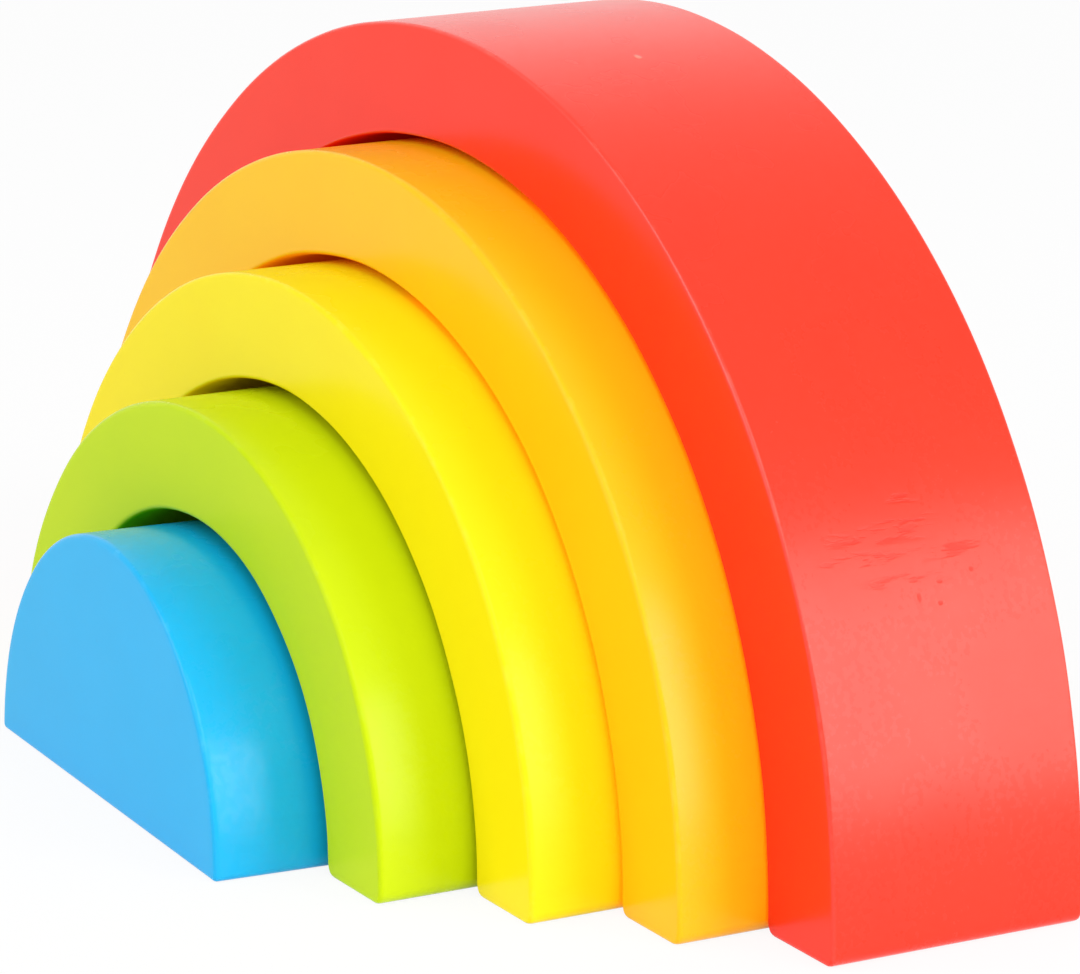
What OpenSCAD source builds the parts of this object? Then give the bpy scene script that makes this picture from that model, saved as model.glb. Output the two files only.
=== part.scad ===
// Rainbow stacker: four nesting wooden arches and a solid half-round core.
// Every piece is loose. They stand on one table, each drawn a step forward of the larger one round it.
// Millimetres. +X runs across the rainbow, +Z is up and the front faces -Y.

/* [All pieces] */
// Depth of every piece, front face to back face
piece_depth = 32; // [24:0.5:44]
// Rounding of the long edges that run over the arch
edge_r = 0.6; // [0.6:0.1:2.5]
// Rounding of the outer and the inner corner of each arch's feet
foot_corner_r = 1.6; // [1.1:0.1:2.5]
// Rounding along the front and the back of each foot
foot_edge_r = 0.5; // [0.3:0.1:0.5]

/* [Red arch] */
// Outside radius of the red arch, which is also the height of the stack
red_r = 85; // [80:0.5:110]
// Thickness of the red arch
red_wall = 13; // [10:0.1:16]

/* [Orange arch] */
// Least clearance between the orange arch and the red one round it
orange_gap = 0.3; // [0.3:0.05:2]
// Thickness of the orange arch
orange_wall = 12.1; // [10:0.1:16]
// How far the orange arch stands out in front of the red one
orange_draw = 10.8; // [0:0.1:28]
// How far the orange arch stands to the right of the red one's middle
orange_shift = 0.5; // [-1:0.1:1]

/* [Yellow arch] */
// Least clearance between the yellow arch and the orange one round it
yellow_gap = 0.7; // [0.5:0.05:2]
// Thickness of the yellow arch
yellow_wall = 12.2; // [10:0.1:16]
// How far the yellow arch stands out in front of the orange one
yellow_draw = 10.6; // [0:0.1:28]
// How far the yellow arch stands to the right of the orange one's middle
yellow_shift = 0.2; // [-1:0.1:1]

/* [Green arch] */
// Least clearance between the green arch and the yellow one round it
green_gap = 0.9; // [0.5:0.05:2]
// Thickness of the green arch
green_wall = 12.3; // [10:0.1:16]
// How far the green arch stands out in front of the yellow one
green_draw = 11.2; // [0:0.1:28]
// How far the green arch, with the half-round in its middle, stands to the right of the yellow one's middle
green_shift = 0.4; // [-1:0.1:1]

/* [Blue half-round] */
// Least clearance between the blue half-round and the green arch round it
blue_gap = 0.9; // [0.4:0.05:2]
// How far the blue half-round stands out in front of the green arch
blue_draw = 10.5; // [0:0.1:28]
// Rounding of the two corners where the half-round stands on the table
blue_corner_r = 0.8; // [0.7:0.1:2.5]
// How far the blue half-round is turned on the table, its right end forward, in degrees
blue_turn = 3.3; // [0:0.1:5]

/* [Hidden] */
$fn = 96;

// Every piece lies half of its depth to each side of its middle
half_depth = piece_depth / 2;

// Radii, worked inwards from the red arch. A piece that stands to one side needs more width,
// so it is smaller by that much.
red_bore_r = red_r - red_wall;
orange_r = red_bore_r - orange_gap - abs(orange_shift);
orange_bore_r = orange_r - orange_wall;
yellow_r = orange_bore_r - yellow_gap - abs(yellow_shift);
yellow_bore_r = yellow_r - yellow_wall;
green_r = yellow_bore_r - green_gap - abs(green_shift);
green_bore_r = green_r - green_wall;

// A turned piece needs more width too, and the blue half-round is smaller by that much
turn_room = half_depth * sin(blue_turn);
blue_r = green_bore_r - blue_gap - turn_room;

// Half of the depth that the turned half-round takes up
turned_half_depth = (half_depth - edge_r) * cos(blue_turn) + (blue_r - edge_r) * sin(blue_turn) + edge_r;

// Middle of each inner piece across the stack
orange_x = orange_shift;
yellow_x = orange_x + yellow_shift;
green_x = yellow_x + green_shift;

// Middle of each piece along the depth, with the origin under the middle of the whole stack
total_draw = orange_draw + yellow_draw + green_draw + blue_draw;
stack_depth = half_depth + total_draw + turned_half_depth;
red_y = stack_depth / 2 - half_depth;
orange_y = red_y - orange_draw;
yellow_y = orange_y - yellow_draw;
green_y = yellow_y - green_draw;
blue_y = green_y - blue_draw;

// How far the cutting shapes reach past the surfaces that they trim
overrun = 2;

// Distance from the middle to the centre of the rounding at a foot's outer and inner corner.
// At the height h a wall of radius r has leaned in by h^2 / (2 r), so each rounding just crosses its wall.
function outer_foot_x(outer_r, corner_r) = outer_r - corner_r;
function inner_foot_x(bore_r, corner_r) = bore_r + corner_r - pow(corner_r, 2) / bore_r;

// Section through the wall at the crown, x along the radius and y along the depth; a bore_r of 0 means solid
module wall_section(bore_r, outer_r) {
  flat_start = bore_r > 0 ? bore_r + edge_r : 0;
  flat_end = outer_r - edge_r;
  corner_x = bore_r > 0 ? [flat_start, flat_end] : [flat_end];
  corner_y = [edge_r - half_depth, half_depth - edge_r];
  translate([bore_r, edge_r - half_depth])
    square([outer_r - bore_r, piece_depth - 2 * edge_r]);
  translate([flat_start, -half_depth])
    square([flat_end - flat_start, piece_depth]);
  for (x = corner_x, y = corner_y)
    translate([x, y])
      circle(edge_r);
}

// Front outline that rounds each foot's outer and inner corner and leaves the rest of the piece untouched
module foot_outline(bore_r, outer_r, corner_r) {
  outer_x = outer_foot_x(outer_r, corner_r);
  inner_x = bore_r > 0 ? inner_foot_x(bore_r, corner_r) : 0;
  feet = bore_r > 0 ? [[-outer_x, -inner_x], [inner_x, outer_x]] : [[-outer_x, outer_x]];
  reach = outer_r + overrun;
  translate([-reach, corner_r])
    square([2 * reach, reach]);
  for (foot = feet) {
    translate([foot[0], 0])
      square([foot[1] - foot[0], 2 * corner_r]);
    for (x = foot)
      translate([x, corner_r])
        circle(corner_r);
  }
}

// What the rounding takes off the feet along their front edge
module front_foot_trim(outer_r) {
  rotate([90, 0, 90])
    linear_extrude(height = 2 * (outer_r + overrun), center = true)
      translate([-half_depth, 0])
        difference() {
          translate([-overrun, -overrun])
            square(foot_edge_r + overrun);
          translate([foot_edge_r, foot_edge_r])
            circle(foot_edge_r);
        }
}

// One piece, standing on its feet about the middle of its depth, with every edge rounded
module rainbow_piece(bore_r, outer_r, corner_r) {
  difference() {
    intersection() {
      rotate([90, 0, 0])
        rotate_extrude(angle = 180)
          wall_section(bore_r, outer_r);
      rotate([90, 0, 0])
        linear_extrude(height = piece_depth + 2 * overrun, center = true)
          foot_outline(bore_r, outer_r, corner_r);
    }
    front_foot_trim(outer_r);
    mirror([0, 1, 0])
      front_foot_trim(outer_r);
  }
}

module red_arch() {
  color([0.95, 0.22, 0.17])
    translate([0, red_y, 0])
      rainbow_piece(red_bore_r, red_r, foot_corner_r);
}

module orange_arch() {
  color([0.98, 0.68, 0.12])
    translate([orange_x, orange_y, 0])
      rainbow_piece(orange_bore_r, orange_r, foot_corner_r);
}

module yellow_arch() {
  color([0.99, 0.91, 0.13])
    translate([yellow_x, yellow_y, 0])
      rainbow_piece(yellow_bore_r, yellow_r, foot_corner_r);
}

module green_arch() {
  color([0.74, 0.87, 0.15])
    translate([green_x, green_y, 0])
      rainbow_piece(green_bore_r, green_r, foot_corner_r);
}

module blue_half_round() {
  color([0.27, 0.72, 0.95])
    translate([green_x, blue_y, 0])
      rotate([0, 0, -blue_turn])
        rainbow_piece(0, blue_r, blue_corner_r);
}

red_arch();
orange_arch();
yellow_arch();
green_arch();
blue_half_round();
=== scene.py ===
"""Rainbow stacker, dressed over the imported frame.

Four nesting half-ring arches and a solid half-round core, all loose wooden blocks. Each block is rebuilt as
a fine mesh where its CAD node stands, with hand-eased edges and the slow waves that sawing and sanding
leave, and is finished in satin paint over hardwood. Metres throughout; +Z is up and the front faces -Y.
"""

from __future__ import annotations

import logging
import math
from abc import ABC, abstractmethod
from dataclasses import dataclass, field
from enum import Enum
from typing import Any, Iterator, Mapping, Sequence, Union

import bmesh
import bpy
from mathutils import Matrix, Vector, noise


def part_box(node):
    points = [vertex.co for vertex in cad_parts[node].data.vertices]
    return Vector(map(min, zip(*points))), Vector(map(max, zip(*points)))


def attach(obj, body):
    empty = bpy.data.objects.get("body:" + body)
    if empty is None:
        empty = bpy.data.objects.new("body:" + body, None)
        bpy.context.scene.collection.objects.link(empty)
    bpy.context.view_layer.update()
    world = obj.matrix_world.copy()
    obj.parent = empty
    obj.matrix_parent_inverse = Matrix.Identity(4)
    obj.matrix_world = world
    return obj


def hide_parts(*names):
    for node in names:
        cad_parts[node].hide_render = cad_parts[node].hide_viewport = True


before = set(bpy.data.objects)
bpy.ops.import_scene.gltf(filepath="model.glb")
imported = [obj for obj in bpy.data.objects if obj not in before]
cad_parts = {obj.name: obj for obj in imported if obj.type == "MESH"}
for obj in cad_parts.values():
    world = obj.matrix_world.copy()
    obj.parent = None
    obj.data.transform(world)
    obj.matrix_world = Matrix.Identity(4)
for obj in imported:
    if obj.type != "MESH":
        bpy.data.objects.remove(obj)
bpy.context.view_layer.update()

log = logging.getLogger("rainbow_stacker")

MM = 0.001
QUARTER = math.pi / 2
WHITE = (1.0, 1.0, 1.0, 1.0)

Colour = tuple[float, float, float]


def smooth(value: float, low: float, high: float) -> float:
    """Return 0 below low, 1 above high and an eased curve between."""
    share = min(max((value - low) / (high - low), 0.0), 1.0)
    return share * share * (3 - 2 * share)


class Wire:
    """A shader socket that takes part in Python sums; each operator adds one Math node."""

    def __init__(self, bench: NodeBench, socket: bpy.types.NodeSocket) -> None:
        """Keep the socket and the bench that its Math nodes go on."""
        self.bench = bench
        self.socket = socket

    def __add__(self, other: Value) -> Wire:
        """Return self + other."""
        return self.bench.maths("ADD", self, other)

    def __radd__(self, other: Value) -> Wire:
        """Return other + self."""
        return self.bench.maths("ADD", other, self)

    def __sub__(self, other: Value) -> Wire:
        """Return self - other."""
        return self.bench.maths("SUBTRACT", self, other)

    def __rsub__(self, other: Value) -> Wire:
        """Return other - self."""
        return self.bench.maths("SUBTRACT", other, self)

    def __mul__(self, other: Value) -> Wire:
        """Return self * other."""
        return self.bench.maths("MULTIPLY", self, other)

    def __rmul__(self, other: Value) -> Wire:
        """Return other * self."""
        return self.bench.maths("MULTIPLY", other, self)

    def __pow__(self, other: Value) -> Wire:
        """Return self to the power of other."""
        return self.bench.maths("POWER", self, other)

    def __or__(self, other: Value) -> Wire:
        """Return the larger of the two, for joining masks."""
        return self.bench.maths("MAXIMUM", self, other)

    def __abs__(self) -> Wire:
        """Return the size of the value without its sign."""
        return self.bench.maths("ABSOLUTE", self)


Value = Union[Wire, float]


class NodeBench:
    """Places and joins the nodes of one material or world."""

    MIX_FACTOR = 0
    MIX_FIRST = 6
    MIX_SECOND = 7
    MIX_RESULT = 2
    CLOUD_MIDDLE = 0.5

    def __init__(self, owner: bpy.types.Material | bpy.types.World) -> None:
        """Clear the owner's node tree and work on it."""
        owner.use_nodes = True
        self.tree = owner.node_tree
        self.tree.nodes.clear()

    def node(
        self,
        kind: str,
        settings: Mapping[str, Any] | None = None,
        sockets: Mapping[str | int, Any] | None = None,
    ) -> bpy.types.Node:
        """Add a node.

        Args:
            kind: The node's type without its ShaderNode prefix.
            settings: Properties of the node, which are set first.
            sockets: A value or a Wire for each input, by name or number.

        Returns:
            The new node.
        """
        node = self.tree.nodes.new("ShaderNode" + kind)
        for name, value in (settings or {}).items():
            setattr(node, name, value)
        for key, value in (sockets or {}).items():
            if isinstance(value, Wire):
                self.tree.links.new(value.socket, node.inputs[key])
            else:
                node.inputs[key].default_value = value
        return node

    def out(self, node: bpy.types.Node, key: str | int = 0) -> Wire:
        """Return one output of a node as a Wire."""
        return Wire(self, node.outputs[key])

    def maths(self, operation: str, *values: Value) -> Wire:
        """Add a Math node for the values and return its result."""
        return self.out(self.node("Math", {"operation": operation}, dict(enumerate(values))))

    def ramp(self, value: Wire, low: float, high: float) -> Wire:
        """Return a mask that eases from 0 at low to 1 at high."""
        sockets = {"Value": value, "From Min": low, "From Max": high}
        return self.out(self.node("MapRange", {"interpolation_type": "SMOOTHSTEP"}, sockets))

    def mix(self, factor: Value, first: Any, second: Any) -> Wire:
        """Mix two colours.

        Args:
            factor: Share of the second colour.
            first: Colour or Wire that is seen at a factor of 0.
            second: Colour or Wire that is seen at a factor of 1.

        Returns:
            The mixed colour.
        """
        sockets = {self.MIX_FACTOR: factor, self.MIX_FIRST: first, self.MIX_SECOND: second}
        node = self.node("Mix", {"data_type": "RGBA", "clamp_factor": True}, sockets)
        return self.out(node, self.MIX_RESULT)

    def vector(self, x: Value, y: Value, z: Value) -> Wire:
        """Join three values to a vector."""
        return self.out(self.node("CombineXYZ", None, {"X": x, "Y": y, "Z": z}))

    def cloud(self, place: Wire, wave: float, detail: float = 2.0, rough: float = 0.5) -> Wire:
        """Return noise of a wavelength.

        Args:
            place: Where on the piece, in metres.
            wave: Size of the largest features, in metres.
            detail: Octaves of finer features.
            rough: Strength of each octave against the one before.

        Returns:
            A value from 0 to 1 that is mostly near CLOUD_MIDDLE.
        """
        sockets = {"Vector": place, "Scale": 1.0 / wave, "Detail": detail, "Roughness": rough}
        return self.out(self.node("TexNoise", {"noise_dimensions": "3D"}, sockets), "Fac")

    def finish(self, shader: bpy.types.Node, kind: str = "OutputMaterial") -> None:
        """Join a shader to the output."""
        self.node(kind, None, {"Surface": self.out(shader)})


@dataclass(frozen=True)
class Patch:
    """A spot on the outside of an arch.

    Attributes:
        angle: Degrees up from the right foot.
        depth: Metres back from the middle of the depth.
        length: Half of its length along the depth, in metres.
        breadth: Half of its breadth over the arch, in metres.
    """

    angle: float
    depth: float
    length: float
    breadth: float


class Surface:
    """Shader masks that tell where on a block a point of its surface lies.

    The bands are where a mask begins and ends, as shares of the rounding or, for the crown, of the radius.

    Attributes:
        bench: Where the nodes go.
        block: The block.
        place: The point, about the block's own middle.
        x: How far it lies to the right of that middle.
        depth: How far back from that middle.
        z: How high above the table.
        radius: How far from the axis that the arch bends round.
        arc: How far over the arch from the right foot, along the outside.
        flat: 1 on the front and the back.
        sawn: 1 on the curved walls.
        rim: 1 on the eased long edges.
        tunnel: 1 on the wall of the tunnel.
        flank: 1 on the flanks, down to 0 at the crown, which is sanded smooth.
    """

    FLAT_BAND = (0.5, 0.1)
    RIM_BAND = (1.3, 0.2)
    TUNNEL_BAND = (0.3, 1.0)
    CROWN_BAND = (0.45, 0.85)

    def __init__(self, bench: NodeBench, block: Block) -> None:
        """Lay out the masks of a block on a bench."""
        self.bench = bench
        self.block = block
        self.place = bench.out(bench.node("TexCoord"), "Object")
        axes = bench.node("SeparateXYZ", None, {"Vector": self.place})
        self.x, self.depth, self.z = (bench.out(axes, key) for key in "XYZ")
        self.radius = (self.x * self.x + self.z * self.z) ** 0.5
        self.arc = bench.maths("ARCTAN2", self.z, self.x) * block.outer_r
        edge = block.easing.long_edge
        half, outer, bore = block.half_depth, block.outer_r, block.bore_r
        self.flat = bench.ramp(abs(self.depth), *(half - share * edge for share in self.FLAT_BAND))
        self.sawn = 1 - self.flat
        near_rim = bench.ramp(self.radius, *(outer - share * edge for share in self.RIM_BAND))
        if bore:
            bore_band = (bore + share * edge for share in reversed(self.RIM_BAND))
            near_rim = near_rim | (1 - bench.ramp(self.radius, *bore_band))
        self.rim = near_rim * bench.ramp(abs(self.depth), *(half - share * edge for share in self.RIM_BAND))
        tunnel_band = (bore + share * edge for share in self.TUNNEL_BAND)
        self.tunnel = (1 - bench.ramp(self.radius, *tunnel_band)) * self.sawn
        self.flank = 1 - bench.ramp(self.z, *(share * outer for share in self.CROWN_BAND))

    def spot(self, patch: Patch, drift: Value, soft: float) -> Wire:
        """Return a mask round a spot.

        Args:
            patch: The spot.
            drift: How far the spot's outline is pushed over the arch.
            soft: Share of the spot's size over which the mask fades out.

        Returns:
            1 at the spot's middle and 0 outside it.
        """
        across = (self.arc + drift - math.radians(patch.angle) * self.block.outer_r) * (1 / patch.breadth)
        along = (self.depth - patch.depth) * (1 / patch.length)
        return 1 - self.bench.ramp((across * across + along * along) ** 0.5, 1 - soft, 1.0)

    def spots(self, patches: Sequence[Patch], drift: Value, soft: float) -> Wire:
        """Return one mask round several spots, with the arguments of spot."""
        mask = self.spot(patches[0], drift, soft)
        for patch in patches[1:]:
            mask = mask | self.spot(patch, drift, soft)
        return mask


class Grain:
    """Shader textures of sawn wood under a film of paint.

    Attributes:
        saw: Streaks that the saw left along the depth of the curved walls.
        board: Streaks along the grain of the front and the back.
        peel: Fine ripple in the film.
        film: Slow change in the film's thickness.
        marks: 1 in the places where the saw's streaks still show.
        pore: 1 in the few open pores.
        wear: 1 where handling has thinned the film along the edges.
    """

    SAW_WAVE = 1.1 * MM
    SAW_LENGTH = 16.0 * MM
    PEEL_WAVE = 0.8 * MM
    FILM_WAVE = 13.0 * MM
    MARK_WAVE = 21.0 * MM
    MARK_BAND = (0.45, 0.7)
    PORE_WAVE = 2.3 * MM
    PORE_PICK = (0.92, 0.97)
    PORE_BAND = (0.04, 0.13)
    WEAR_WAVE = 4.0 * MM
    WEAR_BAND = (0.5, 0.72)
    RADIAL_SHARE = 0.2
    OCTAVES = 3.0
    ROUGH = 0.6
    FILM_ROUGH = 0.55
    MARK_OCTAVES = 1.0

    def __init__(self, surface: Surface) -> None:
        """Lay out the textures over a surface."""
        bench, place = surface.bench, surface.place
        stretch = self.SAW_WAVE / self.SAW_LENGTH
        rings = bench.vector(surface.arc, surface.depth * stretch, surface.radius * self.RADIAL_SHARE)
        self.saw = bench.cloud(rings, self.SAW_WAVE, self.OCTAVES, self.ROUGH)
        planks = bench.vector(surface.x * stretch, surface.depth, surface.z)
        self.board = bench.cloud(planks, self.SAW_WAVE, self.OCTAVES, self.ROUGH)
        self.peel = bench.cloud(place, self.PEEL_WAVE)
        self.film = bench.cloud(place, self.FILM_WAVE, self.OCTAVES, self.FILM_ROUGH)
        marks = bench.ramp(bench.cloud(place, self.MARK_WAVE, self.MARK_OCTAVES), *self.MARK_BAND)
        self.marks = marks * surface.sawn * surface.flank
        cells = bench.node("TexVoronoi", {"feature": "F1"}, {"Vector": place, "Scale": 1 / self.PORE_WAVE})
        draw = bench.out(bench.node("SeparateColor", None, {"Color": bench.out(cells, "Color")}))
        self.pore = 1 - bench.ramp(bench.out(cells, "Distance"), *self.PORE_BAND)
        self.pore = self.pore * bench.ramp(draw, *self.PORE_PICK)
        handled = bench.cloud(place, self.WEAR_WAVE, self.OCTAVES, self.ROUGH)
        self.wear = surface.rim * bench.ramp(handled, *self.WEAR_BAND)


@dataclass(frozen=True)
class SatinPaint:
    """Satin paint over sawn and sanded hardwood.

    Attributes:
        name: Name of the material.
        colour: Linear colour of the film.
        pooled: Colour where the film lies thick, in pores and hollows.
        worn: Colour where handling has thinned the film along the edges.
        tunnel_shade: Colour of the tunnel wall, darker and deeper than the film: painted shade in the
            tunnel.
        glow: Colour of a painted glow that the tunnel wall emits near its mouth, low on its flanks, in
            place of light that goes to and fro in the narrow gap.
        sunken_and_shade: Colour in the bottom of torn grain, where the paint sank in, with painted shade in
            the hollow.
        painted_face_shade: Share of the pooled colour laid over the front and the back as painted shade,
            making them darker than the curved walls.
        peel: Strength of the fine ripple in the film.
        coat: Strength of the gloss on the curved walls.
        glint: Share of that gloss that the ripple breaks up.
        edge_coat: Strength of the gloss on the eased long edges.
        film_ior: How strongly the film bends light, which sets its plain shine.
        torn_grain: Rows along which the saw tore the grain and the paint sank in.
        pits: Pin-sized holes by those rows.
        nib: Where a speck of dust dried into the film, if anywhere.
    """

    name: str
    colour: Colour
    pooled: Colour
    worn: Colour
    tunnel_shade: Colour
    glow: Colour = (0.0, 0.0, 0.0)
    sunken_and_shade: Colour = (0.3, 0.3, 0.3)
    painted_face_shade: float = 0.0
    peel: float = 0.25
    coat: float = 0.22
    glint: float = 0.12
    edge_coat: float = 0.03
    film_ior: float = 1.24
    torn_grain: tuple[Patch, ...] = ()
    pits: tuple[Patch, ...] = ()
    nib: Patch | None = None

    PEEL_HEIGHT = 0.004 * MM
    SAW_HEIGHT = 0.0028 * MM
    SAW_REST = 0.1
    BOARD_HEIGHT = 0.00035 * MM
    FACE_PEEL = 0.2
    PORE_HEIGHT = 0.012 * MM
    TEAR_WAVE = 0.7 * MM
    TEAR_LENGTH = 3.5 * MM
    TEAR_BAND = (0.50, 0.62)
    TEAR_DRIFT = 1.2 * MM
    TEAR_HEIGHT = 0.045 * MM
    TEAR_SOFT = 0.85
    PIT_SOFT = 0.8
    NIB_HEIGHT = 0.05 * MM
    NIB_DRIFT = 0.3 * MM
    NIB_SOFT = 0.7
    POOL_BAND = (0.35, 0.75)
    POOL_TINT = 0.22
    STREAK_BAND = (0.5, 0.75)
    STREAK_TINT = 0.18
    PORE_TINT = 0.25
    WEAR_TINT = 0.3
    TORN_TINT = 0.45
    NIB_TINT = 0.3
    FILM_SATIN = 0.08
    PEEL_SATIN = 0.05
    WEAR_SATIN = 0.06
    MARK_SATIN = 0.03
    TORN_SATIN = 0.1
    TORN_DULL = 0.5
    COAT_ROUGHNESS = 0.24
    WALL_ROUGHNESS = 0.27
    FACE_ROUGHNESS = 0.2
    BARE_WOOD = (0.80, 0.62, 0.42, 1.0)
    MOUTH_DEPTH = 8.0 * MM
    HOLLOW_DEPTH = 26.0 * MM
    GLOW_FLANK = (0.08, 0.42)
    GLOW_REST = 0.08
    GLINT_BAND = (0.42, 0.6)

    def torn(self, surface: Surface, grain: Grain) -> Value:
        """Return a mask that is 1 where the grain is torn, or 0 where this paint covers none."""
        if not self.torn_grain:
            return 0.0
        bench = surface.bench
        stretch = self.TEAR_WAVE / self.TEAR_LENGTH
        strands = bench.vector(surface.arc, surface.depth * stretch, surface.radius)
        strand = bench.cloud(strands, self.TEAR_WAVE, grain.OCTAVES, grain.ROUGH)
        strand = bench.ramp(strand, *self.TEAR_BAND)
        drift = (grain.saw - bench.CLOUD_MIDDLE) * self.TEAR_DRIFT
        rows = surface.spots(self.torn_grain, drift, self.TEAR_SOFT)
        return ((strand * rows) | surface.spots(self.pits, 0.0, self.PIT_SOFT)) * surface.sawn

    def speck(self, surface: Surface, grain: Grain) -> Value:
        """Return a mask that is 1 on the speck of dust, or 0 where this paint has none."""
        if not self.nib:
            return 0.0
        drift = (grain.peel - surface.bench.CLOUD_MIDDLE) * self.NIB_DRIFT
        return surface.spot(self.nib, drift, self.NIB_SOFT)

    def relief(self, surface: Surface, grain: Grain, torn: Value, speck: Value) -> Wire:
        """Return the fine height of the surface.

        Args:
            surface: The block's masks.
            grain: The block's textures.
            torn: Mask of the torn grain.
            speck: Mask of the speck of dust.

        Returns:
            Metres out from the mesh.
        """
        strength = surface.flank * self.SAW_REST + grain.marks
        streaks = strength * grain.saw * surface.sawn * self.SAW_HEIGHT
        streaks = streaks + grain.board * surface.flat * self.BOARD_HEIGHT
        spread_peel = surface.sawn * surface.flank * (1 - self.FACE_PEEL) + self.FACE_PEEL * surface.flank
        ripple = grain.peel * spread_peel * (self.peel * self.PEEL_HEIGHT)
        holes = grain.pore * self.PORE_HEIGHT + torn * self.TEAR_HEIGHT
        return streaks + ripple - holes + speck * self.NIB_HEIGHT

    def tint(self, surface: Surface, grain: Grain, torn: Value, speck: Value) -> Wire:
        """Return the colour of the film, with the arguments of relief."""
        bench = surface.bench
        pooled = (*self.pooled, 1.0)
        thick = bench.ramp(grain.film, *self.POOL_BAND) * self.POOL_TINT
        tint = bench.mix(thick, (*self.colour, 1.0), pooled)
        # Painted shade: the front and the back are laid darker, towards the pooled colour.
        tint = bench.mix(surface.flat * self.painted_face_shade, tint, pooled)
        streak = grain.marks * bench.ramp(grain.saw, *self.STREAK_BAND) * self.STREAK_TINT
        tint = bench.mix(streak, tint, pooled)
        tint = bench.mix(grain.pore * self.PORE_TINT, tint, pooled)
        tint = bench.mix(grain.wear * self.WEAR_TINT, tint, (*self.worn, 1.0))
        # Darker in the torn grain: paint that sank in, and painted shade in the hollow.
        tint = bench.mix(torn * self.TORN_TINT, tint, (*self.sunken_and_shade, 1.0))
        return bench.mix(speck * self.NIB_TINT, tint, self.BARE_WOOD)

    def film(self, surface: Surface, grain: Grain) -> bpy.types.Node:
        """Return the shader of the painted outside."""
        bench = surface.bench
        torn, speck = self.torn(surface, grain), self.speck(surface, grain)
        satin = surface.sawn * (self.WALL_ROUGHNESS - self.FACE_ROUGHNESS) + self.FACE_ROUGHNESS
        satin = satin + (grain.film - bench.CLOUD_MIDDLE) * self.FILM_SATIN
        satin = satin + (grain.peel - bench.CLOUD_MIDDLE) * surface.sawn * surface.flank * self.PEEL_SATIN
        satin = satin + grain.wear * self.WEAR_SATIN + grain.marks * self.MARK_SATIN
        relief = self.relief(surface, grain, torn, speck)
        bump = bench.node("Bump", None, {"Strength": 1.0, "Distance": 1.0, "Height": relief})
        broken = bench.ramp(grain.peel, *self.GLINT_BAND) * (2 * self.glint) + (1 - self.glint)
        gloss = surface.sawn * (1 - surface.rim) * broken * self.coat + surface.rim * self.edge_coat
        sockets = {
            "Base Color": self.tint(surface, grain, torn, speck),
            "Roughness": satin + torn * self.TORN_SATIN,
            "IOR": self.film_ior,
            "Normal": bench.out(bump),
            "Coat Weight": gloss * (1 - torn * self.TORN_DULL),
            "Coat Roughness": self.COAT_ROUGHNESS,
        }
        return bench.node("BsdfPrincipled", None, sockets)

    def lining(self, surface: Surface) -> bpy.types.Node:
        """Return the shader of the matt tunnel wall, with the painted glow that it emits near its mouth."""
        bench, block = surface.bench, surface.block
        # Painted glow: the wall emits light near the mouth of the tunnel, most on its flanks, and a little
        # deeper in.
        mouth = 1 - bench.ramp(surface.depth, -block.half_depth, self.MOUTH_DEPTH - block.half_depth)
        hollow = 1 - bench.ramp(surface.depth, -block.half_depth, self.HOLLOW_DEPTH - block.half_depth)
        flank = bench.ramp(surface.x, *(share * block.bore_r for share in self.GLOW_FLANK))
        painted_glow_share = mouth * flank * (1 - self.GLOW_REST) + hollow * self.GLOW_REST
        # Painted shade: the tunnel wall takes a darker, deeper colour than the film.
        sockets = {
            "Base Color": (*self.tunnel_shade, 1.0),
            "Roughness": 1.0,
            "Specular IOR Level": 0.0,
            "Emission Color": bench.mix(painted_glow_share, (0.0, 0.0, 0.0, 1.0), (*self.glow, 1.0)),
            "Emission Strength": 1.0,
        }
        return bench.node("BsdfPrincipled", None, sockets)

    def brush_on(self, block: Block) -> bpy.types.Material:
        """Make the material for one block.

        Args:
            block: The block that is painted, whose sizes place the marks.

        Returns:
            The new material.
        """
        material = bpy.data.materials.new(self.name)
        bench = NodeBench(material)
        surface = Surface(bench, block)
        shader = self.film(surface, Grain(surface))
        if block.bore_r:
            sockets = {0: surface.tunnel, 1: bench.out(shader), 2: bench.out(self.lining(surface))}
            shader = bench.node("MixShader", None, sockets)
        bench.finish(shader)
        return material


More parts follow.
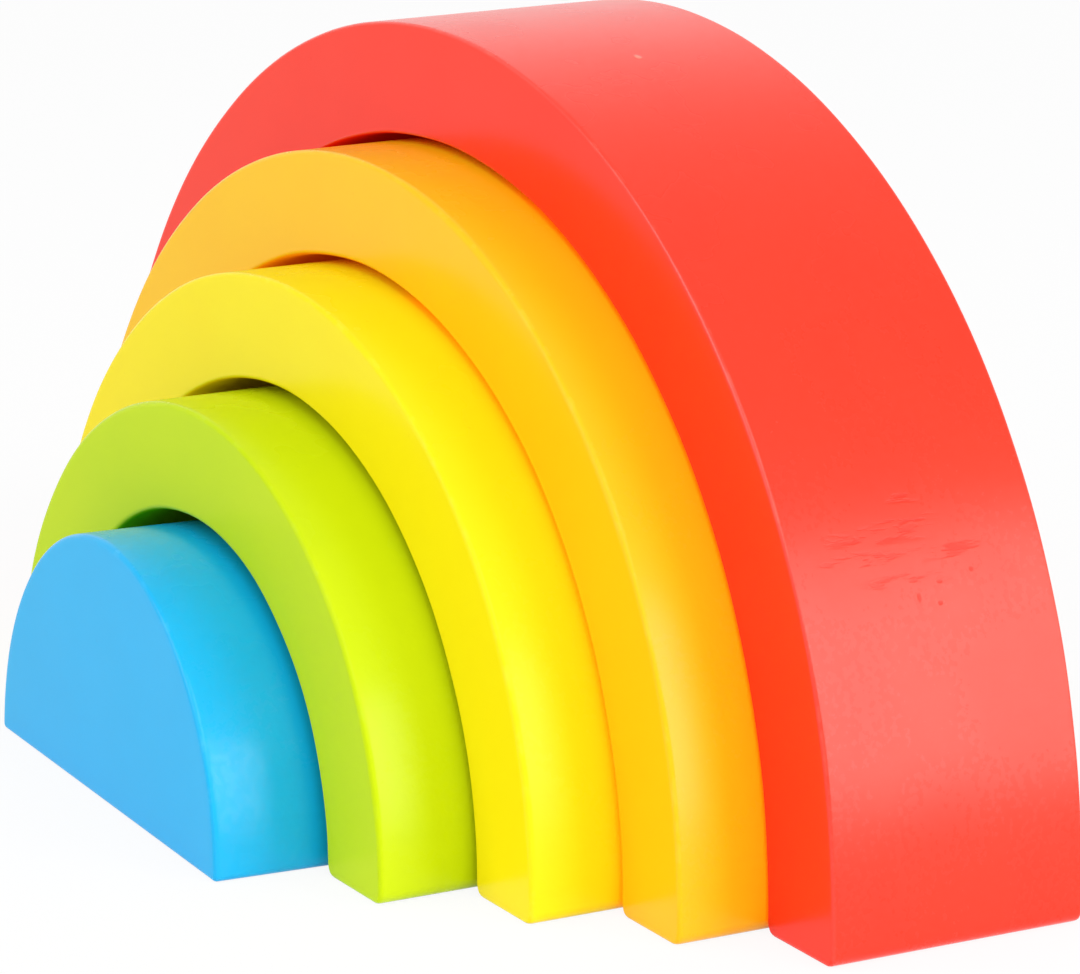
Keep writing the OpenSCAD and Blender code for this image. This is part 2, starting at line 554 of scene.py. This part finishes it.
class Paint(Enum):
    """The five paints, from the outer arch inwards."""

    RED = SatinPaint(
        "red_satin",
        colour=(0.96, 0.037, 0.012),
        pooled=(0.88, 0.026, 0.009),
        worn=(0.96, 0.13, 0.08),
        tunnel_shade=(0.88, 0.022, 0.007),
        glow=(0.6, 0.012, 0.0),
        sunken_and_shade=(0.50, 0.016, 0.006),
        peel=1.5,
        coat=0.26,
        edge_coat=0.9,
        film_ior=1.30,
        torn_grain=(
            Patch(angle=33.0, depth=0.5 * MM, length=4.0 * MM, breadth=1.0 * MM),
            Patch(angle=31.3, depth=-0.5 * MM, length=5.0 * MM, breadth=1.0 * MM),
            Patch(angle=30.4, depth=-4.3 * MM, length=10.5 * MM, breadth=1.3 * MM),
            Patch(angle=28.75, depth=-7.0 * MM, length=8.5 * MM, breadth=1.3 * MM),
            Patch(angle=28.8, depth=4.2 * MM, length=6.5 * MM, breadth=1.4 * MM),
            Patch(angle=27.0, depth=-2.3 * MM, length=7.0 * MM, breadth=1.3 * MM),
        ),
        pits=(
            Patch(angle=27.1, depth=6.2 * MM, length=0.35 * MM, breadth=0.35 * MM),
            Patch(angle=26.55, depth=1.95 * MM, length=0.5 * MM, breadth=0.3 * MM),
            Patch(angle=25.6, depth=-1.0 * MM, length=0.3 * MM, breadth=0.7 * MM),
            Patch(angle=25.0, depth=1.5 * MM, length=0.4 * MM, breadth=0.35 * MM),
        ),
        nib=Patch(angle=79.6, depth=0.1 * MM, length=0.55 * MM, breadth=0.8 * MM),
    )
    ORANGE = SatinPaint(
        "orange_satin",
        colour=(0.97, 0.57, 0.006),
        pooled=(0.96, 0.50, 0.004),
        worn=(0.97, 0.65, 0.08),
        tunnel_shade=(0.94, 0.36, 0.003),
        glow=(1.1, 0.10, 0.0),
        peel=4.0,
    )
    YELLOW = SatinPaint(
        "yellow_satin",
        colour=(0.97, 0.80, 0.006),
        pooled=(0.96, 0.73, 0.002),
        worn=(0.97, 0.86, 0.10),
        tunnel_shade=(0.95, 0.60, 0.002),
        peel=3.0,
        coat=0.06,
        film_ior=1.20,
    )
    GREEN = SatinPaint(
        "green_satin",
        colour=(0.60, 0.765, 0.003),
        pooled=(0.49, 0.71, 0.002),
        worn=(0.62, 0.82, 0.10),
        tunnel_shade=(0.30, 0.54, 0.002),
        painted_face_shade=0.25,
        peel=4.0,
        coat=0.16,
        film_ior=1.18,
    )
    BLUE = SatinPaint(
        "blue_satin",
        colour=(0.006, 0.475, 0.90),
        pooled=(0.004, 0.42, 0.80),
        worn=(0.14, 0.60, 0.92),
        tunnel_shade=(0.004, 0.36, 0.80),
        painted_face_shade=0.3,
        peel=5.0,
        coat=0.34,
        glint=0.3,
        edge_coat=0.3,
    )


@dataclass(frozen=True)
class Easing:
    """How far each edge of a block is rounded over.

    Attributes:
        long_edge: Rounding of the edges that run over the arch.
        foot_corner: Rounding of a foot's outer and inner corner.
        foot_edge: Rounding along the front and the back of a foot.
        wander: Share by which the hand-eased long edges vary.
        wander_wave: Distance along the edge over which they vary.
        steps: Faces across each rounding.
    """

    long_edge: float = 0.6 * MM
    foot_corner: float = 1.6 * MM
    foot_edge: float = 0.5 * MM
    wander: float = 0.3
    wander_wave: float = 11.0 * MM
    steps: int = 8

    NOISE_LAYER = 0.5

    def turns(self) -> Iterator[float]:
        """Yield the angle at each step of a rounding, from 0 to a quarter turn."""
        for step in range(self.steps + 1):
            yield QUARTER * step / self.steps

    def inset(self, radius: float, depth: float) -> float:
        """Return how far a rounded edge is drawn in at a depth below the face it starts from."""
        rest = max(radius - depth, 0.0)
        return radius - math.sqrt(radius * radius - rest * rest)

    def long_edge_at(self, distance: float, line: float) -> float:
        """Return the rounding at a distance along one of the long edges, which differ by line."""
        place = Vector((distance / self.wander_wave, line, self.NOISE_LAYER))
        return self.long_edge * (1 + self.wander * noise.noise(place))


@dataclass(frozen=True)
class Sanding:
    """Waves that sawing and sanding leave in the faces.

    Attributes:
        waves: Wavelength and height of each.
        table_fade: Height above the table over which they fade in, so the feet stay flat.
    """

    waves: tuple[tuple[float, float], ...] = (
        (36 * MM, 0.075 * MM),
        (12 * MM, 0.022 * MM),
        (5 * MM, 0.006 * MM),
    )
    table_fade: float = 1.5 * MM

    SEED_STEPS = (7.3, 3.1, 5.7)

    def lift(self, point: Vector, seed: float) -> float:
        """Return how far the surface stands proud at a point of the block with this seed."""
        shift = Vector(tuple(seed * step for step in self.SEED_STEPS))
        total = sum(height * noise.noise(point / wave + shift) for wave, height in self.waves)
        return total * smooth(point.z, 0.0, self.table_fade)


@dataclass
class Block(ABC):
    """One loose wooden block of the stack, measured from its CAD node.

    Attributes:
        body: The body that the block rides on.
        node: The CAD node that it stands for.
        paint: Its paint.
        seed: Makes its waves differ from those of the other blocks.
        turn: How far it is turned on the table, in radians.
        easing: Its rounded edges.
        sanding: The waves in its faces.
        spacing: Size of a mesh face.
        middle: Point on the table under its middle.
        outer_r: Outside radius.
        bore_r: Radius of the tunnel, or 0 where the block is solid.
        half_depth: Half of its depth.
        piece: The finished object.
    """

    body: str
    node: str
    paint: Paint
    seed: float
    turn: float = 0.0
    easing: Easing = Easing()
    sanding: Sanding = Sanding()
    spacing: float = 1.0 * MM
    middle: Vector = field(init=False)
    outer_r: float = field(init=False)
    bore_r: float = field(init=False)
    half_depth: float = field(init=False)
    piece: bpy.types.Object = field(init=False)

    def __post_init__(self) -> None:
        """Measure the CAD node about its own middle, with its turn taken out."""
        low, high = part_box(self.node)
        self.middle = Vector(((low.x + high.x) / 2, (low.y + high.y) / 2, 0.0))
        unturn = Matrix.Rotation(-self.turn, 3, "Z")
        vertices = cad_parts[self.node].data.vertices
        points = [unturn @ (vertex.co - self.middle) for vertex in vertices]
        radii = [math.hypot(point.x, point.z) for point in points]
        self.outer_r = max(radii)
        self.bore_r = self.tunnel(min(radii))
        self.half_depth = max(point.y for point in points)

    @abstractmethod
    def tunnel(self, inner_r: float) -> float:
        """Return the radius of the tunnel, given the smallest radius on the node."""

    @abstractmethod
    def shape(self, mesh: bmesh.types.BMesh) -> None:
        """Add the block's faces to an empty mesh, standing on the table about its own middle."""

    def skin(self, mesh: bmesh.types.BMesh, near: Sequence[Any], far: Sequence[Any]) -> None:
        """Join two closed rings of vertices with four-sided faces."""
        count = len(near)
        for index in range(count):
            after = (index + 1) % count
            mesh.faces.new((near[index], near[after], far[after], far[index]))

    def sand(self, mesh: bmesh.types.BMesh) -> None:
        """Move every vertex along its normal by the waves of the sanding."""
        mesh.normal_update()
        moves = [(vertex, vertex.normal * self.sanding.lift(vertex.co, self.seed)) for vertex in mesh.verts]
        for vertex, move in moves:
            vertex.co += move

    def build(self) -> None:
        """Make the mesh and stand the object where the CAD node is."""
        mesh = bmesh.new()
        self.shape(mesh)
        bmesh.ops.recalc_face_normals(mesh, faces=mesh.faces)
        self.sand(mesh)
        for face in mesh.faces:
            face.smooth = True
        data = bpy.data.meshes.new(self.node + "_block")
        mesh.to_mesh(data)
        mesh.free()
        self.piece = bpy.data.objects.new(self.node + "_block", data)
        self.piece.location = self.middle
        self.piece.rotation_euler = (0.0, 0.0, self.turn)
        bpy.context.collection.objects.link(self.piece)
        bpy.context.view_layer.update()

    def dress(self) -> None:
        """Paint the block."""
        self.piece.data.materials.append(self.paint.value.brush_on(self))

    def hand_over(self) -> None:
        """Put the block on its body in place of the CAD node."""
        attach(self.piece, self.body)
        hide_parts(self.node)


def spread(start: Vector, end: Vector, count: int) -> Iterator[Vector]:
    """Yield the points between two ends, closer together towards the ends.

    Args:
        start: First end, which isn't yielded.
        end: Second end, which isn't yielded.
        count: Number of parts that the line is cut into.

    Returns:
        The points in order.
    """
    crowding = 0.7
    for index in range(1, count):
        share = index / count
        share -= crowding * math.sin(2 * math.pi * share) / (2 * math.pi)
        yield start.lerp(end, share)


@dataclass
class Arch(Block):
    """A half-ring that stands on two feet.

    Attributes:
        level_angle: Angle up from the table below which the mesh lines lie level, as the feet do.
    """

    level_angle: float = math.radians(12)

    LINE_STEP = 3.7

    def tunnel(self, inner_r: float) -> float:
        """Return the smallest radius, which is the tunnel's."""
        return inner_r

    @property
    def mid_r(self) -> float:
        """Radius at the middle of the wall."""
        return (self.outer_r + self.bore_r) / 2

    def stations(self) -> list[float]:
        """Return the angles at which the arch is cut into rings, from the right foot to the left."""
        radius = self.easing.foot_corner
        foot = [math.asin(radius * (1 - math.cos(turn)) / self.mid_r) for turn in self.easing.turns()]
        span = math.pi - 2 * foot[-1]
        count = round(span * self.mid_r / self.spacing)
        body = [foot[-1] + span * index / count for index in range(1, count)]
        return foot + body + [math.pi - angle for angle in reversed(foot)]

    def section(self, angle: float) -> list[Vector]:
        """Return the outline of the wall.

        Args:
            angle: Where the wall is cut, up from the right foot.

        Returns:
            Points of radius and depth, round the wall from the front of its outside.
        """
        height = self.mid_r * math.sin(angle)
        corner = self.easing.inset(self.easing.foot_corner, height)
        end = self.easing.inset(self.easing.foot_edge, height)
        outer, bore, half = self.outer_r - corner, self.bore_r + corner, self.half_depth - end
        corners = ((outer, -half, -1, 1), (outer, half, -1, -1), (bore, half, 1, -1), (bore, -half, 1, 1))
        rounds: list[list[Vector]] = []
        for line, (radius, depth, inward, forward) in enumerate(corners):
            ease = self.easing.long_edge_at(angle * self.mid_r, self.seed + self.LINE_STEP * line)
            centre = Vector((radius + inward * ease, depth + forward * ease))
            first = QUARTER * (line - 1)
            rounds.append([centre + ease * Vector((math.cos(first + turn), math.sin(first + turn)))
                           for turn in self.easing.turns()])
        lengths = (2 * self.half_depth, self.outer_r - self.bore_r)
        counts = [round(length / self.spacing) for length in lengths]
        outline: list[Vector] = []
        for line, arc in enumerate(rounds):
            following = rounds[(line + 1) % len(rounds)]
            outline += arc
            outline += spread(arc[-1], following[0], counts[line % 2])
        return outline

    def place(self, point: Vector, angle: float) -> Vector:
        """Set a point of the wall's outline on the arch.

        Args:
            point: Its radius and depth.
            angle: Where the wall is cut, up from the right foot.

        Returns:
            The point in space. Cuts lie level at the table and point to the axis higher up.
        """
        side = 1 if angle <= QUARTER else -1
        rise = angle if side > 0 else math.pi - angle
        share = smooth(rise, 0.0, self.level_angle)
        if share < 1:
            level = math.asin(self.mid_r * math.sin(rise) / point.x)
            rise = level + (rise - level) * share
        return Vector((side * point.x * math.cos(rise), point.y, point.x * math.sin(rise)))

    def shape(self, mesh: bmesh.types.BMesh) -> None:
        """Add the rings of the arch, the faces between them and the flats of the feet."""
        rings = [[mesh.verts.new(self.place(point, angle)) for point in self.section(angle)]
                 for angle in self.stations()]
        for near, far in zip(rings, rings[1:]):
            self.skin(mesh, near, far)
        for foot in (rings[0], rings[-1]):
            mesh.faces.new(foot)


@dataclass
class HalfRound(Block):
    """The solid half-round core.

    Attributes:
        face_rings: Rings of faces from the edge of a flat face to its middle.
        face_middle: Height of that middle, as a share of the radius.
        face_crowding: How strongly the rings crowd towards the edge, where 1 is even.
    """

    face_rings: int = 14
    face_middle: float = 0.42
    face_crowding: float = 1.3

    def tunnel(self, inner_r: float) -> float:
        """Return 0, because the core is solid."""
        return 0.0

    def outline(self) -> list[tuple[Vector, Vector, float]]:
        """Return the front outline, before its edges are eased.

        Returns:
            For each point its place across and up, the way inwards and the rounding of its edge.
        """
        corner = self.easing.foot_corner
        centre_x = math.sqrt((self.outer_r - corner) ** 2 - corner ** 2)
        start = math.atan2(corner, centre_x)
        span = math.pi - 2 * start
        points: list[tuple[Vector, Vector, float]] = []
        base_count = round(2 * centre_x / self.spacing)
        for index in range(base_count):
            x = centre_x * (2 * index / base_count - 1)
            points.append((Vector((x, 0.0)), Vector((0.0, 1.0)), self.easing.foot_edge))
        for turn in self.easing.turns():
            angle = -QUARTER + (QUARTER + start) * turn / QUARTER
            share = turn / QUARTER
            outward = Vector((math.cos(angle), math.sin(angle)))
            ease = self.easing.foot_edge * (1 - share) + self.easing.long_edge * share
            points.append((Vector((centre_x, corner)) + corner * outward, -outward, ease))
        arc_count = round(span * self.outer_r / self.spacing)
        for index in range(1, arc_count):
            angle = start + span * index / arc_count
            outward = Vector((math.cos(angle), math.sin(angle)))
            ease = self.easing.long_edge_at(angle * self.outer_r, self.seed)
            points.append((self.outer_r * outward, -outward, ease))
        mirrored = points[base_count:base_count + self.easing.steps + 1]
        for place, inward, ease in reversed(mirrored[1:]):
            points.append((Vector((-place.x, place.y)), Vector((-inward.x, inward.y)), ease))
        return points

    def levels(self) -> list[tuple[float, float, float]]:
        """Return the rings along the depth.

        Returns:
            For each ring its plain depth, and the shares of the rounding by which it is drawn in and
            moved inwards.
        """
        edge = [(1 - math.sin(turn), 1 - math.cos(turn)) for turn in self.easing.turns()]
        front = [(-self.half_depth, drawn, moved) for drawn, moved in edge]
        back = [(self.half_depth, drawn, -moved) for drawn, moved in reversed(edge)]
        reach = self.half_depth - self.easing.long_edge
        count = round(2 * reach / self.spacing)
        ends = (Vector((-reach, 0.0)), Vector((reach, 0.0)))
        return front + [(point.x, 0.0, 0.0) for point in spread(*ends, count)] + back

    def shape(self, mesh: bmesh.types.BMesh) -> None:
        """Add the rings along the depth, the faces between them and the two flat faces."""
        outline = self.outline()
        rings: list[list[bmesh.types.BMVert]] = []
        for depth, drawn, moved in self.levels():
            ring = []
            for place, inward, ease in outline:
                point = place + inward * (ease * drawn)
                ring.append(mesh.verts.new((point.x, depth + ease * moved, point.y)))
            rings.append(ring)
        for near, far in zip(rings, rings[1:]):
            self.skin(mesh, near, far)
        for edge in (rings[0], rings[-1]):
            self.close(mesh, edge)

    def close(self, mesh: bmesh.types.BMesh, edge: list[bmesh.types.BMVert]) -> None:
        """Fill a flat face with rings that shrink towards its middle.

        Args:
            mesh: The block's mesh.
            edge: The ring at the face's edge.
        """
        middle = Vector((0.0, edge[0].co.y, self.face_middle * self.outer_r))
        outer = edge
        for step in range(1, self.face_rings):
            share = (step / self.face_rings) ** self.face_crowding
            inner: list[bmesh.types.BMVert] = []
            for vertex in edge:
                centre = Vector((middle.x, vertex.co.y, middle.z))
                inner.append(mesh.verts.new(vertex.co.lerp(centre, share)))
            self.skin(mesh, outer, inner)
            outer = inner
        hub = mesh.verts.new(middle)
        for index, vertex in enumerate(outer):
            mesh.faces.new((vertex, outer[(index + 1) % len(outer)], hub))


@dataclass(frozen=True)
class SoftBox:
    """A soft lamp that faces the stack.

    Attributes:
        name: Name of the lamp.
        azimuth: Degrees round from the front, to the right.
        elevation: Degrees up.
        distance: Metres from the stack's middle.
        width: Width of its face.
        height: Height of its face.
        brightness: Brightness of its face, where 1 is a white wall.
    """

    name: str
    azimuth: float
    elevation: float
    distance: float
    width: float
    height: float
    brightness: float

    def hang(self, aim: Vector) -> None:
        """Hang the lamp so that it faces a point."""
        data = bpy.data.lights.new(self.name, "AREA")
        data.shape = "RECTANGLE"
        data.size = self.width
        data.size_y = self.height
        data.energy = self.brightness * math.pi * self.width * self.height
        lamp = bpy.data.objects.new(self.name, data)
        view = Viewpoint(aim, self.azimuth, self.elevation, self.distance)
        lamp.matrix_world = view.matrix()
        lamp.visible_camera = False
        bpy.context.collection.objects.link(lamp)


@dataclass(frozen=True)
class Viewpoint:
    """A place to look at the stack from.

    Attributes:
        aim: The point that is looked at.
        azimuth: Degrees round from the front, to the right.
        elevation: Degrees up.
        distance: Metres from the aim.
        roll: Degrees by which the right-hand side of the view tips up.
    """

    aim: Vector
    azimuth: float
    elevation: float
    distance: float
    roll: float = 0.0

    def matrix(self) -> Matrix:
        """Return the placing of a camera or lamp that stands here and faces the aim."""
        angles = (self.azimuth, self.elevation, self.roll)
        azimuth, elevation, roll = (math.radians(angle) for angle in angles)
        level = Vector((math.cos(azimuth), math.sin(azimuth), 0.0))
        back = Vector((math.sin(azimuth), -math.cos(azimuth), 0.0)) * math.cos(elevation)
        back.z = math.sin(elevation)
        upright = back.cross(level)
        right = level * math.cos(roll) + upright * math.sin(roll)
        up = upright * math.cos(roll) - level * math.sin(roll)
        turned = Matrix((right, up, back)).transposed().to_4x4()
        turned.translation = self.aim + back * self.distance
        return turned


@dataclass
class Studio:
    """The white table, the lamps and the camera.

    Attributes:
        table_r: Radius of the table top.
        table_sides: Sides of the outline that stands for its round edge.
        table_colour: Linear colour of the table top.
        table_lift: Share of plain white that is seen in the table; the rest keeps the shadow.
        room_light: Brightness of the white room as the blocks' colours see it.
        ceiling_fall: Share by which the room's ceiling is dimmer than its walls.
        ceiling_band: Rise, as the sine of its angle, over which the walls pass into the ceiling.
        sensor: Width of the camera's sensor, in millimetres.
        focal_px: Focal length in pixels of the photograph.
        photo_px: Width of the photograph in pixels.
        view: Where the camera stands.
        lamps: The soft lamps.
    """

    table_r: float = 4.0
    table_sides: int = 96
    table_colour: Colour = (0.95, 0.95, 0.95)
    table_lift: float = 0.9
    room_light: float = 0.57
    ceiling_fall: float = 0.35
    ceiling_band: tuple[float, float] = (0.45, 0.95)
    sensor: float = 36.0
    focal_px: float = 5964.8
    photo_px: float = 1080.0
    view: Viewpoint = Viewpoint(
        aim=Vector((9.874, 14.056, 33.195)) * MM,
        azimuth=59.346,
        elevation=15.446,
        distance=683.4 * MM,
        roll=1.11,
    )
    lamps: tuple[SoftBox, ...] = (
        SoftBox(
            "side_softbox", azimuth=119.5, elevation=16.5, distance=1.0,
            width=0.48, height=0.6, brightness=4.7,
        ),
        SoftBox(
            "camera_softbox", azimuth=72.0, elevation=44.0, distance=1.2,
            width=0.9, height=0.8, brightness=2.3,
        ),
        SoftBox(
            "front_softbox", azimuth=-10.0, elevation=30.0, distance=1.2,
            width=0.9, height=0.7, brightness=2.0,
        ),
    )

    def seen(self, bench: NodeBench) -> Wire:
        """Return 1 for rays that see the white surroundings, from the camera or in a reflection."""
        path = bench.node("LightPath")
        shiny = bench.out(path, "Is Glossy Ray") | bench.out(path, "Is Transmission Ray")
        return bench.out(path, "Is Camera Ray") | shiny

    def lay_table(self) -> None:
        """Lay the table top, which is white where it is seen and keeps the stack's shadow."""
        mesh = bmesh.new()
        bmesh.ops.create_circle(mesh, cap_ends=True, segments=self.table_sides, radius=self.table_r)
        data = bpy.data.meshes.new("table_top")
        mesh.to_mesh(data)
        mesh.free()
        table = bpy.data.objects.new("table_top", data)
        bpy.context.collection.objects.link(table)
        material = bpy.data.materials.new("white_table")
        bench = NodeBench(material)
        plain = bench.node("BsdfDiffuse", None, {"Color": (*self.table_colour, 1.0)})
        glow = bench.node("Emission", None, {"Color": WHITE, "Strength": 1.0})
        sockets = {0: self.seen(bench) * self.table_lift, 1: bench.out(plain), 2: bench.out(glow)}
        bench.finish(bench.node("MixShader", None, sockets))
        data.materials.append(material)

    def paint_room(self) -> None:
        """Make the room white where it is seen, and softer as a light."""
        world = bpy.data.worlds.new("white_room")
        bench = NodeBench(world)
        way = bench.out(bench.node("TexCoord"), "Generated")
        rise = bench.out(bench.node("SeparateXYZ", None, {"Vector": way}), "Z")
        wall = 1 - bench.ramp(rise, *self.ceiling_band) * self.ceiling_fall
        seen = self.seen(bench)
        strength = seen * wall + (1 - seen) * self.room_light
        bench.finish(bench.node("Background", None, {"Color": WHITE, "Strength": strength}), "OutputWorld")
        bpy.context.scene.world = world

    def set_camera(self) -> None:
        """Stand the camera where the photograph was taken from."""
        data = bpy.data.cameras.new("photo_camera")
        data.sensor_width = self.sensor
        data.lens = self.focal_px * self.sensor / self.photo_px
        camera = bpy.data.objects.new("photo_camera", data)
        camera.matrix_world = self.view.matrix()
        bpy.context.collection.objects.link(camera)
        bpy.context.scene.camera = camera

    def set_up(self) -> None:
        """Set up the table, the room, the lamps and the camera."""
        bpy.context.scene.view_settings.view_transform = "Standard"
        self.lay_table()
        self.paint_room()
        for lamp in self.lamps:
            lamp.hang(self.view.aim)
        self.set_camera()


def rainbow() -> list[Block]:
    """Return the five blocks, from the outer arch inwards."""
    return [
        Arch("red", "red_arch", Paint.RED, seed=1.0, easing=Easing(long_edge=0.4 * MM)),
        Arch("orange", "orange_arch", Paint.ORANGE, seed=2.0),
        Arch("yellow", "yellow_arch", Paint.YELLOW, seed=3.0),
        Arch("green", "green_arch", Paint.GREEN, seed=4.0),
        HalfRound(
            "blue", "blue_half_round", Paint.BLUE, seed=5.0, turn=math.radians(-3.3),
            easing=Easing(foot_corner=0.8 * MM),
        ),
    ]


def main() -> None:
    """Set up the studio, then build, paint and hand over each block."""
    logging.basicConfig(level=logging.INFO, format="%(name)s: %(message)s")
    Studio().set_up()
    for block in rainbow():
        block.build()
        block.dress()
        block.hand_over()
        faces = len(block.piece.data.polygons)
        log.info("%s: %d faces, radius %.2f mm", block.piece.name, faces, block.outer_r / MM)


if __name__ == "__main__":
    main()
